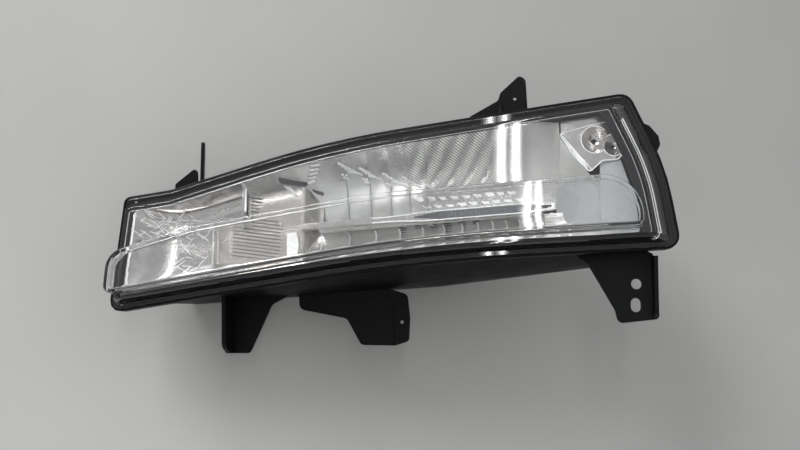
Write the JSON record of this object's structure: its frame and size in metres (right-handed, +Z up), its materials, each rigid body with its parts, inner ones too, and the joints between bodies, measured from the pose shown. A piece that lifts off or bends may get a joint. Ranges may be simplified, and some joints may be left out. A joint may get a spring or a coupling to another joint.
{
  "type": "daytime running light",
  "caption": "Long clear-lensed daytime running light with a raised band, chrome reflectors, a black moulded housing and fixing brackets.",
  "frame": {"origin": "centre of the round fixing hole in the lower outer bracket, in the middle of the bracket's thickness", "axes": "+Z up as fitted, -Y out of the lens towards the front of the car, +X towards the lamp's taller, swept-back end"},
  "size_m": [0.3799, 0.109, 0.1942],
  "materials": {
    "clear_lens": "clear polished polycarbonate",
    "sealant": "matte sealant",
    "black_housing": "moulded, fine grain",
    "black_bezel": "satin black",
    "chrome_reflector": "vacuum metallised",
    "fluted_chrome": "vacuum metallised over fine flutes",
    "dark_chrome": "smoked metallised, finely hatched",
    "pale_trim": "pale satin",
    "heat_sink": "as extruded",
    "screw_steel": "zinc plated",
    "circuit_board": "white solder mask",
    "led_package": "phosphor face in a pale package",
    "driver_board": "green solder mask",
    "components": "moulded packages",
    "black_cover": "moulded, fine grain",
    "rubber_seal": "soft matte",
    "connector_plastic": "glass-filled nylon",
    "pin_metal": "tinned brass",
    "lead_insulation": "thin PVC insulation"
  },
  "bodies": {
    "root": {"lens": "clear_lens", "glue_bead": "sealant", "rear_housing": "black_housing", "bezel_frame": "black_bezel", "left_reflector": "chrome_reflector", "fluted_panel": "fluted_chrome", "upper_reflector": "chrome_reflector", "lower_reflector": "chrome_reflector", "divider_strip": "dark_chrome", "corner_reflector": "chrome_reflector", "corner_panel": "pale_trim", "heat_sink": "heat_sink", "heat_sink_screws": "screw_steel", "upper_led_board": "circuit_board", "lower_led_board": "circuit_board", "upper_leds": "led_package", "lower_leds": "led_package", "board_screws": "screw_steel", "corner_led_board": "circuit_board", "corner_leds": "led_package", "corner_board_screws": "screw_steel", "driver_board": "driver_board", "driver_components": "components", "rear_cover": "black_cover", "cover_gasket": "rubber_seal", "cover_screws": "screw_steel", "connector": "connector_plastic", "connector_pins": "pin_metal", "vent_caps": "rubber_seal", "inner_leads": "lead_insulation"}
  },
  "joints": []
}
